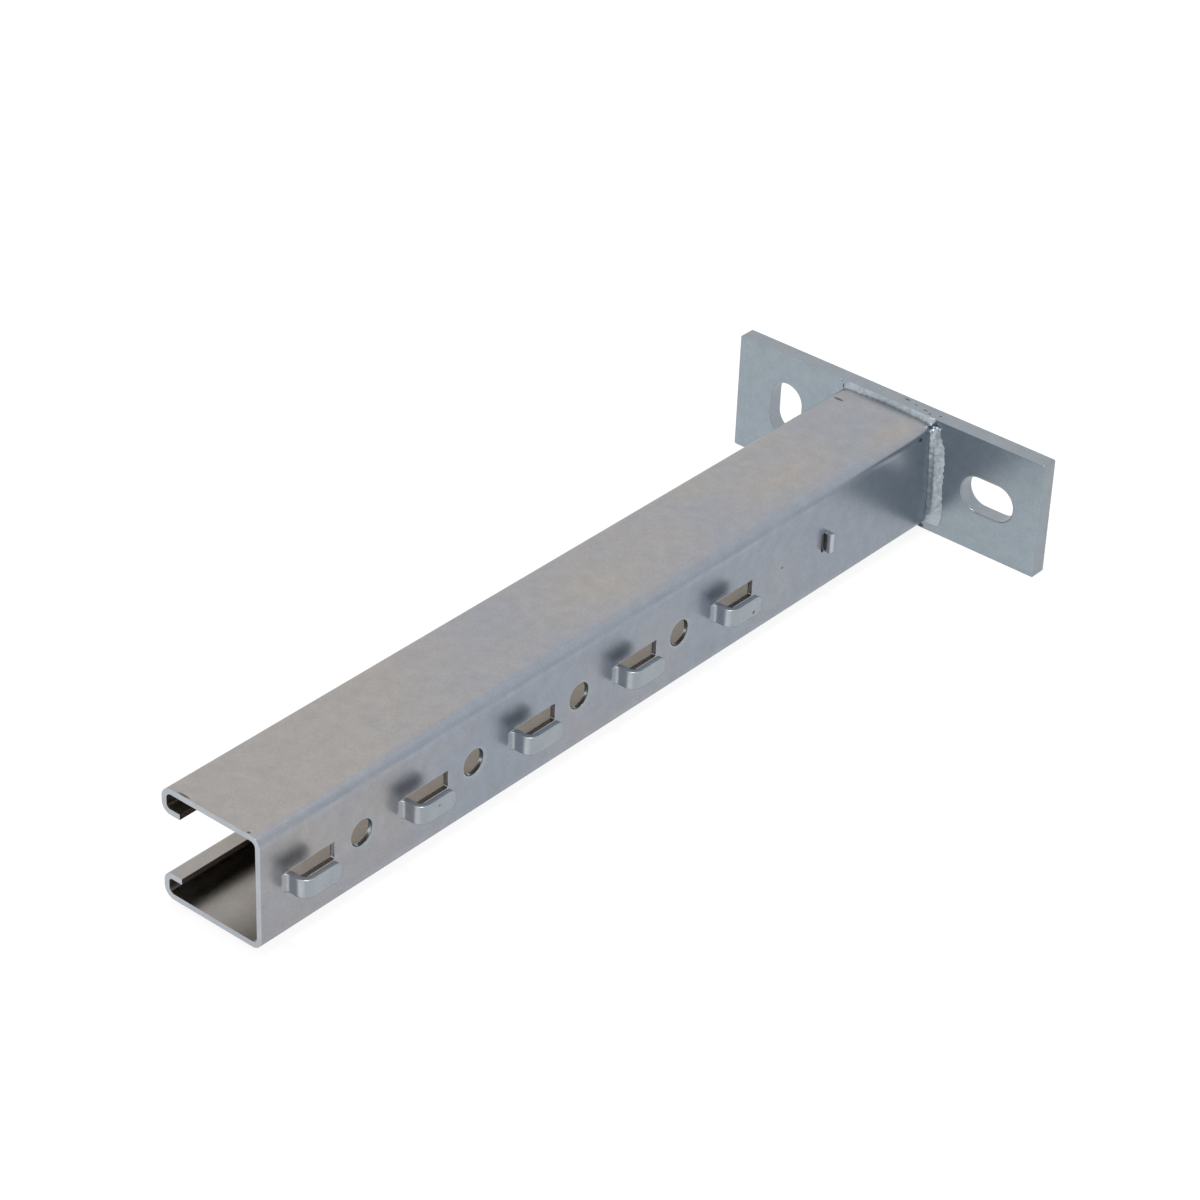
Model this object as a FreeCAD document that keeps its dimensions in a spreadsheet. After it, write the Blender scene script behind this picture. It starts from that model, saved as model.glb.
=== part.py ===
import FreeCAD, Part
import math
import os
import sys
import Sketcher

# Cantilever arm for cable tray: a lipped square channel welded on end to a flat wall plate.
# The wall is the plane y = 0, the arm points along -y, its web faces +x and its open side -x.
# The origin is the middle of the plate's back face. All sizes are millimetres and degrees.

V = FreeCAD.Vector
UP = V(0, 0, 1)
doc = FreeCAD.newDocument("cantilever_arm")
os.makedirs("parts", exist_ok=True)

sizes = [
    ("arm_width", "41", "channel, over the web and the lips"),
    ("arm_height", "41", "channel, over the two flanges"),
    ("arm_length", "332", "free end to the plate's front face"),
    ("sheet", "2", "thickness of the folded sheet"),
    ("bend_radius", "4", "outer radius of the four main bends"),
    ("lip_bend_radius", "3.5", "outer radius between a lip and its return"),
    ("lip_height", "9.5", "outside of a flange to the outside of a return"),
    ("return_reach", "7.5", "outside of a lip to the tip of its return"),
    ("lug_count", "5", "hooked lugs along the web"),
    ("lug_pitch", "50", "one lug to the next, and one hole to the next"),
    ("lug_start", "8.3", "free end to the first lug's root fold"),
    ("lug_width", "6.5", "height of a lug and of its window"),
    ("lug_fold_radius", "2", "inside radius of a lug's two folds"),
    ("lug_standoff", "6.3", "web to the inside of a lug: room for a tray wire"),
    ("lug_run", "11.5", "straight part of a lug beside the web"),
    ("lug_corner", "2.2", "rounded corners of a lug's tip"),
    ("window_corner", "0.5", "rounded corners of the openings of the lugs and the tab"),
    ("fold_factor", "0.45", "share of the sheet from a fold's inside to its unstretched line"),
    ("hole_count", "4", "round holes between the lugs"),
    ("hole_diameter", "9", "round holes in the web"),
    ("hole_start", "43.2", "free end to the first round hole"),
    ("hole_edge", "0.8", "rounded edge of a round hole on the outside"),
    ("tab_width", "7.2", "height of the small stop tab"),
    ("tab_fold_radius", "1", "inside radius of the stop tab's fold"),
    ("tab_height", "2.6", "stop tab, out from the web"),
    ("tab_start", "273.6", "free end to the stop tab's fold"),
    ("plate_length", "133", "wall plate"),
    ("plate_height", "45", "wall plate"),
    ("plate_thickness", "6", "wall plate"),
    ("plate_corner", "0.6", "rounded corners of the sheared plate"),
    ("slot_spacing", "89", "centre to centre of the plate's two slots"),
    ("slot_width", "14", "plate slots"),
    ("slot_length", "22", "plate slots, over their round ends"),
    ("top_bead_arm", "1.4", "weld on the top flange, along the arm"),
    ("top_bead_plate", "1.9", "weld on the top flange, up the plate"),
    ("web_bead_arm", "2.4", "weld on the web, along the arm"),
    ("web_bead_plate", "5", "weld on the web, across the plate"),
    ("bead_crown", "0.35", "how far a weld's face bulges"),
    ("bead_corner_turn", "45", "how far both welds run round the upper bend, degrees"),
    ("bead_end_turn", "30", "how far the web's weld runs round the lower bend, degrees"),
]

# Places that follow from those sizes, each counted from the origin or the plate's front face.
places = [
    ("half_width", "=arm_width / 2", "middle to the outside of the web"),
    ("half_height", "=arm_height / 2", "middle to the outside of a flange"),
    ("half_gap", "=half_height - lip_height", "middle to a return's outer face"),
    ("inner_half_width", "=half_width - sheet", "middle to the inside of the web"),
    ("inner_half_height", "=half_height - sheet", "middle to the inside of a flange"),
    ("return_inner", "=half_gap + sheet", "middle to a return's inner face"),
    ("return_tip", "=half_width - return_reach", "middle to the tip of a return"),
    ("bend_inner", "=bend_radius - sheet", "inside of a main bend"),
    ("lip_bend_inner", "=lip_bend_radius - sheet", "inside of a lip's bend"),
    ("lug_half", "=lug_width / 2", "half a lug"),
    ("lug_round", "=lug_fold_radius + sheet", "outside radius of a lug's folds"),
    ("lug_line", "=lug_fold_radius + fold_factor * sheet", "radius of a fold's unstretched line"),
    ("lug_leg", "=lug_standoff - 2 * lug_fold_radius", "straight part of a lug's leg"),
    ("lug_flat", "=pi * lug_line + lug_leg + lug_run", "a lug laid flat, its two folds being square"),
    ("lug_root", "=arm_length - lug_start", "plate to the first lug's root fold"),
    ("lug_anchor", "=lug_root + sheet", "plate to where the lug's strip begins inside the web"),
    ("lug_front", "=lug_root - lug_fold_radius", "plate to the leg's face towards the free end"),
    ("lug_back", "=lug_front - sheet", "plate to the leg's other face"),
    ("lug_tip", "=lug_back - lug_fold_radius - lug_run", "plate to the first lug's tip"),
    ("lug_window_end", "=lug_root - lug_flat", "plate to the near end of the first window"),
    ("lug_inside", "=half_width + lug_standoff", "middle to a lug's inner face"),
    ("lug_outside", "=lug_inside + sheet", "middle to a lug's outer face"),
    ("lug_row_span", "=(lug_count - 1) * lug_pitch", "first lug to the last"),
    ("hole_radius", "=hole_diameter / 2", "round holes"),
    ("hole_place", "=arm_length - hole_start", "plate to the first round hole"),
    ("hole_row_span", "=(hole_count - 1) * lug_pitch", "first hole to the last"),
    ("tab_half", "=tab_width / 2", "half the stop tab"),
    ("tab_round", "=tab_fold_radius + sheet", "outside radius of the tab's fold"),
    ("tab_root", "=arm_length - tab_start", "plate to the tab's fold"),
    ("tab_anchor", "=tab_root - sheet", "plate to where the tab's strip begins inside the web"),
    ("tab_back", "=tab_root + tab_fold_radius", "plate to the tab's near face"),
    ("tab_front", "=tab_back + sheet", "plate to the tab's face towards the free end"),
    ("tab_line", "=tab_fold_radius + fold_factor * sheet", "radius of the tab fold's unstretched line"),
    ("tab_flat", "=pi * tab_line / 2 + tab_height - tab_fold_radius", "the tab laid flat"),
    ("tab_window_end", "=tab_root + tab_flat", "plate to the far end of the tab's opening"),
    ("tab_top", "=half_width + tab_height", "middle to the tab's edge"),
    ("half_plate", "=plate_length / 2", "middle to an end of the plate"),
    ("half_plate_height", "=plate_height / 2", "middle to a long edge of the plate"),
    ("slot_place", "=slot_spacing / 2", "middle to a slot's centre"),
    ("slot_round", "=slot_width / 2", "half a slot's width and its end radius"),
    ("slot_straight", "=slot_length / 2 - slot_round", "slot's centre to the centre of a round end"),
    ("slot_near", "=slot_place - slot_straight", "level slot, centre of its near round end"),
    ("slot_far", "=slot_place + slot_straight", "level slot, centre of its far round end"),
    ("flat_half", "=half_width - bend_radius", "half the flat of a flange"),
    ("flat_half_height", "=half_height - bend_radius", "half the flat of the web"),
    ("flat_span", "=2 * flat_half", "flat of a flange"),
    ("flat_span_height", "=2 * flat_half_height", "flat of the web"),
    ("top_bead_edge", "=half_height + top_bead_plate", "middle to the top weld's edge on the plate"),
    ("top_bead_chord", "=sqrt(top_bead_arm ^ 2 + top_bead_plate ^ 2)", "across the top weld's face"),
    ("top_bead_curve", "=top_bead_chord ^ 2 / (8 * bead_crown) + bead_crown / 2", "top weld's face"),
    ("web_bead_edge", "=half_width + web_bead_plate", "middle to the web weld's edge on the plate"),
    ("web_bead_chord", "=sqrt(web_bead_arm ^ 2 + web_bead_plate ^ 2)", "across the web weld's face"),
    ("web_bead_curve", "=web_bead_chord ^ 2 / (8 * bead_crown) + bead_crown / 2", "web weld's face"),
]
sheet = doc.addObject("Spreadsheet::Sheet", "dims")
for row, (name, content, note) in enumerate(sizes + places, start=1):
    sheet.set("A%d" % row, name)
    sheet.set("B%d" % row, content)
    sheet.set("C%d" % row, note)
    sheet.setAlias("B%d" % row, name)
doc.recompute()


def size(name):
    """Give a named size as a number; a minus sign in front turns it round."""
    return -float(sheet.get(name[1:])) if name.startswith("-") else float(sheet.get(name))


def origin_part(body, role):
    """Find one of a body's own origin planes or axes by its role."""
    for feature in body.Origin.OriginFeatures:
        if feature.Role == role:
            return feature
    raise ValueError("no origin feature " + role)


def new_body(name):
    body = doc.addObject("PartDesign::Body", name)
    body.Label = name
    return body


def new_sketch(body, name, plane):
    """Start a sketch on one of a body's own origin planes."""
    sketch = body.newObject("Sketcher::SketchObject", name)
    sketch.AttachmentSupport = [(origin_part(body, plane), "")]
    sketch.MapMode = "FlatFace"
    doc.recompute()
    return sketch


def hold(sketch, kind, curve, point, name):
    """Keep a point at a named distance from the sketch's origin, on the side its sign tells."""
    ends = (curve, point, -1, 1) if name.startswith("-") else (-1, 1, curve, point)
    index = sketch.addConstraint(Sketcher.Constraint(kind, *ends, abs(size(name))))
    sketch.setExpression("Constraints[%d]" % index, "dims." + name.lstrip("-"))


def spot(places):
    """Give the point two named places tell of; an empty name lies on the sketch's own axis."""
    return V(*(size(name) if name else 0 for name in places), 0)


def hold_spot(sketch, curve, point, places):
    """Keep a point at the spot two named places tell of."""
    for kind, name, axis in zip(("DistanceX", "DistanceY"), places, (-2, -1)):
        if name:
            hold(sketch, kind, curve, point, name)
        else:
            sketch.addConstraint(Sketcher.Constraint("PointOnObject", curve, point, axis))


def hold_radius(sketch, curve, name):
    index = sketch.addConstraint(Sketcher.Constraint("Radius", curve, size(name)))
    sketch.setExpression("Constraints[%d]" % index, "dims." + name)


def hold_side(sketch, line, lie, place):
    """Keep a line level or upright, at its named place."""
    level = lie == "level"
    sketch.addConstraint(Sketcher.Constraint("Horizontal" if level else "Vertical", line))
    hold(sketch, "DistanceY" if level else "DistanceX", line, 1, place)


def round_corner(sketch, corner, way_in, way_out, line_in, line_out, radius_name):
    """Join two lines at a corner: by a tangent arc when a radius is named, else end to end."""
    if not radius_name:
        sketch.addConstraint(Sketcher.Constraint("Coincident", line_in, 2, line_out, 1))
        return
    radius = size(radius_name)
    centre = corner + (way_out - way_in) * radius
    left_turn = way_in.cross(way_out).z > 0
    begin, end = (way_out * -1, way_in) if left_turn else (way_in, way_out * -1)
    circle = Part.Circle(centre, UP, radius)
    arc = sketch.addGeometry(
        Part.ArcOfCircle(circle, math.atan2(begin.y, begin.x), math.atan2(end.y, end.x)))
    near, far = (1, 2) if left_turn else (2, 1)
    sketch.addConstraint(Sketcher.Constraint("Tangent", line_in, 2, arc, near))
    sketch.addConstraint(Sketcher.Constraint("Tangent", arc, far, line_out, 1))
    hold_radius(sketch, arc, radius_name)


def outline(sketch, sides):
    """Draw a closed outline of level and upright sides.

    Each side is (lie, place, radius): lie is "level" or "upright", place is the named distance
    of its line, and radius names the rounding of the corner that ends it, or is empty.
    """
    spans = []
    for i, (lie, place, radius) in enumerate(sides):
        here, begin, end = size(place), size(sides[i - 1][1]), size(sides[(i + 1) % len(sides)][1])
        if lie == "level":
            spans.append((V(begin, here, 0), V(end, here, 0)))
        else:
            spans.append((V(here, begin, 0), V(here, end, 0)))
    ways = [(end - begin).normalize() for begin, end in spans]
    trims = [size(radius) if radius else 0 for lie, place, radius in sides]
    lines = []
    for i, (begin, end) in enumerate(spans):
        shape = Part.LineSegment(begin + ways[i] * trims[i - 1], end - ways[i] * trims[i])
        lines.append(sketch.addGeometry(shape))
    for i, (lie, place, radius) in enumerate(sides):
        after = (i + 1) % len(sides)
        round_corner(sketch, spans[i][1], ways[i], ways[after], lines[i], lines[after], radius)
    for line, (lie, place, radius) in zip(lines, sides):
        hold_side(sketch, line, lie, place)
    doc.recompute()


def obround(sketch, near_end, far_end):
    """Draw a slot between the centres of its two round ends, each a pair of named places."""
    radius = size("slot_round")
    near_centre, far_centre = spot(near_end), spot(far_end)
    way = (far_centre - near_centre).normalize()
    side = UP.cross(way) * radius
    turn = math.atan2(way.y, way.x)
    quarter = math.pi / 2
    first = sketch.addGeometry(Part.LineSegment(near_centre - side, far_centre - side))
    second = sketch.addGeometry(Part.LineSegment(far_centre + side, near_centre + side))
    far = sketch.addGeometry(
        Part.ArcOfCircle(Part.Circle(far_centre, UP, radius), turn - quarter, turn + quarter))
    near = sketch.addGeometry(
        Part.ArcOfCircle(Part.Circle(near_centre, UP, radius), turn + quarter, turn - quarter))
    for curve, after in ((first, far), (far, second), (second, near), (near, first)):
        sketch.addConstraint(Sketcher.Constraint("Tangent", curve, 2, after, 1))
    for arc, end in ((near, near_end), (far, far_end)):
        hold_radius(sketch, arc, "slot_round")
        hold_spot(sketch, arc, 3, end)
    doc.recompute()


def pad(body, name, sketch, length, middle=False, back=False):
    feature = body.newObject("PartDesign::Pad", name)
    feature.Profile = sketch
    feature.setExpression("Length", "dims." + length)
    feature.Midplane = middle
    feature.Reversed = back
    doc.recompute()
    return feature


def cut_through(body, name, sketch):
    """Cut a sketch out through the whole body, and make sure it took something away."""
    before = body.Shape.Volume
    feature = body.newObject("PartDesign::Pocket", name)
    feature.Profile = sketch
    feature.Type = "ThroughAll"
    feature.Midplane = True
    doc.recompute()
    if body.Shape.Volume >= before:
        sys.exit(name + " removed nothing")
    return feature


def repeat(body, name, originals, span, count):
    """Repeat features along the arm, towards the plate."""
    feature = body.newObject("PartDesign::LinearPattern", name)
    feature.Originals = originals
    feature.Direction = (origin_part(body, "Y_Axis"), [""])
    feature.setExpression("Length", "dims." + span)
    feature.setExpression("Occurrences", "dims." + count)
    body.Tip = feature
    doc.recompute()
    return feature


def edges_where(body, test):
    """Name the edges of a body's last feature that pass a test of their shape."""
    return ["Edge%d" % number for number, edge in enumerate(body.Shape.Edges, start=1) if test(edge)]


def round_edges(body, name, edges, radius_name):
    """Round the given edges of a body's last feature."""
    base = body.Tip
    feature = body.newObject("PartDesign::Fillet", name)
    feature.Base = (base, edges)
    feature.setExpression("Radius", "dims." + radius_name)
    body.Tip = feature
    doc.recompute()


# The channel: one sheet folded to a square section whose lips turn in and back along the flanges.
arm = new_body("channel_arm")
arm.setExpression("Placement.Base.y", "-dims.plate_thickness")
section = new_sketch(arm, "arm_section", "XZ_Plane")
outline(section, [
    ("level", "half_gap", "lip_bend_radius"),
    ("upright", "-half_width", "bend_radius"),
    ("level", "half_height", "bend_radius"),
    ("upright", "half_width", "bend_radius"),
    ("level", "-half_height", "bend_radius"),
    ("upright", "-half_width", "lip_bend_radius"),
    ("level", "-half_gap", ""),
    ("upright", "-return_tip", ""),
    ("level", "-return_inner", "lip_bend_inner"),
    ("upright", "-inner_half_width", "bend_inner"),
    ("level", "-inner_half_height", "bend_inner"),
    ("upright", "inner_half_width", "bend_inner"),
    ("level", "inner_half_height", "bend_inner"),
    ("upright", "-inner_half_width", "lip_bend_inner"),
    ("level", "return_inner", ""),
    ("upright", "-return_tip", ""),
])
pad(arm, "arm_run", section, "arm_length")

# The hooked lugs take the most skill. Each is a tongue cut on three sides out of the web, folded
# straight out at its root and folded again to run on beside the web, towards the plate, so that a
# tray wire slips in behind it. Its window in the web is as long as the tongue laid flat.
window = new_sketch(arm, "lug_window", "YZ_Plane")
outline(window, [
    ("level", "-lug_half", "window_corner"),
    ("upright", "-lug_window_end", "window_corner"),
    ("level", "lug_half", ""),
    ("upright", "-lug_root", ""),
])
windows = cut_through(arm, "lug_window_cut", window)
strip = new_sketch(arm, "lug_strip", "XY_Plane")
outline(strip, [
    ("upright", "half_width", "lug_fold_radius"),
    ("level", "-lug_front", "lug_round"),
    ("upright", "lug_outside", ""),
    ("level", "-lug_tip", ""),
    ("upright", "lug_inside", "lug_fold_radius"),
    ("level", "-lug_back", "lug_round"),
    ("upright", "inner_half_width", ""),
    ("level", "-lug_anchor", ""),
])
lugs = pad(arm, "lug", strip, "lug_width", middle=True)
repeat(arm, "lug_row", [windows, lugs], "lug_row_span", "lug_count")


def lug_tip_corner(edge):
    """Tell a lug's tip corner: a straight edge across the sheet, beyond the web, at the lug's edge."""
    spot = edge.CenterOfMass
    beyond = size("lug_inside") < spot.x < size("lug_outside")
    at_edge = math.isclose(abs(spot.z), size("lug_half"))
    across = math.isclose(edge.BoundBox.XLength, size("sheet"), rel_tol=1e-3)
    return beyond and at_edge and across and edge.BoundBox.YLength < size("sheet") / 2


round_edges(arm, "lug_tips", edges_where(arm, lug_tip_corner), "lug_corner")

# A round hole stands between each lug and the next, its edge rounded on the outside.
hole = new_sketch(arm, "web_hole", "YZ_Plane")
hole_centre = ("-hole_place", "")
ring = hole.addGeometry(Part.Circle(spot(hole_centre), UP, size("hole_radius")))
hold_spot(hole, ring, 3, hole_centre)
hold_radius(hole, ring, "hole_radius")
doc.recompute()
holes = cut_through(arm, "web_hole_cut", hole)
repeat(arm, "web_hole_row", [holes], "hole_row_span", "hole_count")


def hole_rim(edge):
    """Tell the rim of a round hole on the web's outer face."""
    on_face = math.isclose(edge.CenterOfMass.x, size("half_width"))
    is_round = math.isclose(edge.BoundBox.YLength, size("hole_diameter"), rel_tol=1e-3)
    return on_face and is_round and isinstance(edge.Curve, Part.Circle)


round_edges(arm, "web_hole_rims", edges_where(arm, hole_rim), "hole_edge")

# The small stop tab near the plate is folded out at the plate's side of its own opening, which is
# as long as the tab laid flat.
tab_opening = new_sketch(arm, "tab_opening", "YZ_Plane")
outline(tab_opening, [
    ("level", "-tab_half", ""),
    ("upright", "-tab_root", ""),
    ("level", "tab_half", "window_corner"),
    ("upright", "-tab_window_end", "window_corner"),
])
cut_through(arm, "tab_opening_cut", tab_opening)
tab_strip = new_sketch(arm, "tab_strip", "XY_Plane")
outline(tab_strip, [
    ("upright", "half_width", "tab_fold_radius"),
    ("level", "-tab_back", ""),
    ("upright", "tab_top", ""),
    ("level", "-tab_front", "tab_round"),
    ("upright", "inner_half_width", ""),
    ("level", "-tab_anchor", ""),
])
pad(arm, "tab", tab_strip, "tab_width", middle=True)

# The wall plate: flat bar with two slots, the left one upright and the right one level.
plate = new_body("base_plate")
blank = new_sketch(plate, "plate_outline", "XZ_Plane")
outline(blank, [
    ("level", "-half_plate_height", "plate_corner"),
    ("upright", "half_plate", "plate_corner"),
    ("level", "half_plate_height", "plate_corner"),
    ("upright", "-half_plate", "plate_corner"),
])
pad(plate, "plate_body", blank, "plate_thickness")
upright_slot = new_sketch(plate, "upright_slot", "XZ_Plane")
obround(upright_slot, ("-slot_place", "-slot_straight"), ("-slot_place", "slot_straight"))
cut_through(plate, "upright_slot_cut", upright_slot)
level_slot = new_sketch(plate, "level_slot", "XZ_Plane")
obround(level_slot, ("slot_near", ""), ("slot_far", ""))
cut_through(plate, "level_slot_cut", level_slot)


def bead_sketch(body, name, plane, lift, corner, toe, head, curve, axis):
    """Draw a weld's section on a lifted plane, with the centre line of the channel's bend.

    The section is a leg along the channel, a leg on the plate and a bulging face. corner, toe and
    head are pairs of named places, and axis is the two ends of the centre line.
    """
    sketch = new_sketch(body, name, plane)
    sketch.setExpression("AttachmentOffset.Base.z", lift)
    root, low, high = spot(corner), spot(toe), spot(head)
    chord_middle = (low + high) / 2
    crown = chord_middle + (chord_middle - root).normalize() * size("bead_crown")
    leg = sketch.addGeometry(Part.LineSegment(root, low))
    back = sketch.addGeometry(Part.LineSegment(high, root))
    face = sketch.addGeometry(Part.Arc(low, crown, high))
    starts_low = sketch.getPoint(face, 1).distanceToPoint(low) < size("bead_crown")
    low_end, high_end = (1, 2) if starts_low else (2, 1)
    sketch.addConstraint(Sketcher.Constraint("Coincident", leg, 1, back, 2))
    sketch.addConstraint(Sketcher.Constraint("Coincident", leg, 2, face, low_end))
    sketch.addConstraint(Sketcher.Constraint("Coincident", back, 1, face, high_end))
    for line, point, places in ((leg, 1, corner), (leg, 2, toe), (back, 1, head)):
        hold_spot(sketch, line, point, places)
    hold_radius(sketch, face, curve)
    centre_line = sketch.addGeometry(Part.LineSegment(*(spot(end) for end in axis)), True)
    for point, places in enumerate(axis, start=1):
        hold_spot(sketch, centre_line, point, places)
    doc.recompute()
    return sketch


def turn_bead(body, name, sketch, turn, back=False):
    """Carry a weld's section round a bend of the channel, about the sketch's centre line."""
    feature = body.newObject("PartDesign::Revolution", name)
    feature.Profile = sketch
    feature.ReferenceAxis = (sketch, ["Axis0"])
    feature.setExpression("Angle", "dims." + turn)
    feature.Reversed = back
    body.Tip = feature
    doc.recompute()


# The weld on the top flange: along its flat, then half way round the bend towards the web.
top_bead = new_body("weld_bead_top")
top_bead.setExpression("Placement.Base.y", "-dims.plate_thickness")
top_section = bead_sketch(
    top_bead, "top_section", "YZ_Plane", "dims.flat_half",
    ("", "half_height"), ("-top_bead_arm", "half_height"), ("", "top_bead_edge"), "top_bead_curve",
    [("", "flat_half_height"), ("-top_bead_arm", "flat_half_height")])
pad(top_bead, "top_run", top_section, "flat_span", back=True)
turn_bead(top_bead, "top_corner", top_section, "bead_corner_turn", back=True)

# The weld on the web: along its flat, half way round the upper bend and a little round the lower.
web_bead = new_body("weld_bead_web")
web_bead.setExpression("Placement.Base.y", "-dims.plate_thickness")
web_shape = [
    ("half_width", ""), ("half_width", "-web_bead_arm"), ("web_bead_edge", ""), "web_bead_curve",
    [("flat_half", ""), ("flat_half", "-web_bead_arm")]]
upper_section = bead_sketch(
    web_bead, "upper_section", "XY_Plane", "dims.flat_half_height", *web_shape)
pad(web_bead, "web_run", upper_section, "flat_span_height", back=True)
turn_bead(web_bead, "upper_corner", upper_section, "bead_corner_turn")
lower_section = bead_sketch(
    web_bead, "lower_section", "XY_Plane", "-dims.flat_half_height", *web_shape)
turn_bead(web_bead, "lower_corner", lower_section, "bead_end_turn", back=True)

for body in (arm, plate, top_bead, web_bead):
    for feature in body.Group + [body]:
        if "Invalid" in feature.State or "Error" in feature.State:
            sys.exit(feature.Name + " failed")
    shape = body.Shape
    if shape.isNull() or not shape.isValid() or len(shape.Solids) != 1:
        sys.exit(body.Label + " is not one valid solid")
    shape.exportStep("parts/%s.step" % body.Label)
    print(body.Label, round(shape.Volume), shape.BoundBox)
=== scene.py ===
import bpy
import numpy as np
from bpy.props import FloatProperty, FloatVectorProperty, IntProperty, PointerProperty
from mathutils import Matrix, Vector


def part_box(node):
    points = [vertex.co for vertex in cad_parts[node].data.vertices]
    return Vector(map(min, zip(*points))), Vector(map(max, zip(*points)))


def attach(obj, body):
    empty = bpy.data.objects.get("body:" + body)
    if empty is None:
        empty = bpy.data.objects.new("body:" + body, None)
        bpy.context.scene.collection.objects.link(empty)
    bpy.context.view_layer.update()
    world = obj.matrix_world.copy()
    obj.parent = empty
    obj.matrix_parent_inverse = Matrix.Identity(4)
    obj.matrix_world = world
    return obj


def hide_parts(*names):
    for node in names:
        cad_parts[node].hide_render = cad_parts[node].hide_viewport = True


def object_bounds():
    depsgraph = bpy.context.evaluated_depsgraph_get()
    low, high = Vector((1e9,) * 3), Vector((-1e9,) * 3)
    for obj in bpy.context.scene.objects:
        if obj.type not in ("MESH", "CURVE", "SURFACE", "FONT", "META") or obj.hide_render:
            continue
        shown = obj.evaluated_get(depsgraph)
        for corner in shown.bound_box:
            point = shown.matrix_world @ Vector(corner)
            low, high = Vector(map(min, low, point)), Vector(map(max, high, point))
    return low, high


bl_info = {
    "name": "Cantilever Strut Arm",
    "version": (1, 1, 0),
    "blender": (4, 5, 0),
    "location": "3D View > Sidebar > Strut Arm",
    "description": "Finishes the welded cantilever arm and sets up its studio",
    "category": "Object",
}

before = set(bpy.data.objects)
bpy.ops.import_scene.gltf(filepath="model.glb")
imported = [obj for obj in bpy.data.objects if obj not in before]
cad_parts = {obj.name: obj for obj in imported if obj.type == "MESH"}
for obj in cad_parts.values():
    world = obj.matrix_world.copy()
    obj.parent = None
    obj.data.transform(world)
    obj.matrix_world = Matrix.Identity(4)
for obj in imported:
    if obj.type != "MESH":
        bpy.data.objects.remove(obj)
CAD_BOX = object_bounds()

# The back of the wall plate is the plane y = 0. The arm runs out along -y with its web facing +x.
MM = 0.001
ARM_LOW, ARM_HIGH = (np.array(corner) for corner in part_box("channel_arm"))
PLATE_LOW, PLATE_HIGH = (np.array(corner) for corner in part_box("base_plate"))
FREE_END = ARM_LOW[1]
PLATE_FRONT = PLATE_LOW[1]
PLATE_TOP = PLATE_HIGH[2]
WEB_FACE = -ARM_LOW[0]
FLANGE_FACE = ARM_HIGH[2]
SHEET = 2 * MM
INNER_FACE = WEB_FACE - SHEET
BEND = 4 * MM
HALF_FLAT = FLANGE_FACE - BEND
HOLE_PITCH = 50 * MM
FIRST_HOLE = FREE_END + 43.2 * MM
HOLE_RADIUS = 4.5 * MM

# Where the finish changes: each pair tells where a change starts and where it is complete.
LINING = (INNER_FACE + 0.2 * MM, INNER_FACE + 0.1 * MM)
INSIDE_SHADE_DEEPENS = (FREE_END + 10 * MM, FREE_END + 45 * MM)
WEB_SHEET = (WEB_FACE - 1.3 * SHEET, WEB_FACE - 1.2 * SHEET)
OUTER_WEB = (WEB_FACE - 0.5 * SHEET, WEB_FACE - 0.4 * SHEET)
PAST_END_FACE = (FREE_END + SHEET, FREE_END + 2 * SHEET)
LUG_SKIN = (WEB_FACE + 0.5 * MM, WEB_FACE + 1.2 * MM)
PAST_LUG_FOLD = (WEB_FACE + 2.4 * MM, WEB_FACE + 3.2 * MM)
PAST_LUGS = (FREE_END + 4.6 * HOLE_PITCH, FREE_END + 4.8 * HOLE_PITCH)
HOLE_RIM_HIGHLIGHT = (HOLE_RADIUS + 1.7 * MM, HOLE_RADIUS + 0.7 * MM)
HOLE_ROW = (3.6 * HOLE_PITCH, 3.5 * HOLE_PITCH)
ON_SIDE = (0.0, 0.6)
ON_BEND = (0.0, 0.4)
END_FACING = (0.7, 0.9)
EDGE_FACING = (0.9, 0.6)
WELD_LUMP = (-12.5 * MM, -15 * MM)
OFF_THE_BENDS = (WEB_FACE, WEB_FACE + 0.1 * MM)

# The press leaves a shallow hollow and then a line along each bend, drawn as painted shade over the
# hollow and a painted highlight on the line. Each is told by how far below the flange it starts, lies and
# ends; the shade and the highlight are shares of the zinc's brightness.
HOLLOW = (1.1 * MM, 2.0 * MM, 2.9 * MM)
HOLLOW_SHADE = 0.07
PRESS_LINE = (2.5 * MM, 3.3 * MM, 4.6 * MM)
PRESS_LINE_HIGHLIGHT = 0.06
PRESS_WANDER_SIZE = 20 * MM

# How noise is spread: from where to where it counts, and what it gives at either end. Its own
# roughness is how much its finer patches add to the coarser.
MOTTLE = (0.3, 0.7, 0.95, 1.05)
GRAIN = (0.3, 0.7, 0.94, 1.06)
PRESS_WANDER = (0.35, 0.65, 0.4, 1.6)
BAR_CLOUDS = (0.4, 0.8, 0.0, 0.4)
SKIN_SHADING = (0.3, 0.7)
SKIN_ROUGHNESS = (0.4, 0.65, 0.46, 0.26)
NOISE_ROUGHNESS = 0.55

# How high the grain and the weld's skin stand, and how finely rounded edges are looked up.
GRAIN_HEIGHT = 0.05 * MM
SKIN_HEIGHT = 0.1 * MM
EDGE_SAMPLES = 12

# A mark and a patch are at their full out to this share of their reach; everything else counts
# as lying this many reaches away.
MARK_CORE = 0.5
PATCH_CORE = 0.0
BEYOND_REACH = 2.0

# The channel's tint lies on a ramp from straw to blue: the clouds' spread along it, and what is
# added at the free end, at the plate, on the web and on the bends. What is added on the web and on the
# bends is painted reflection.
CLOUD_SPREAD = 1.8
COOL_AT_FREE_END = -0.84
COOL_AT_PLATE = -0.34
REFLECTED_COOL_ON_WEB = 0.44
REFLECTED_COOL_ON_BEND = 0.3
STRAW_STOP = 0.15
LILAC_STOP = 0.5
BLUE_STOP = 0.85

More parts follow.
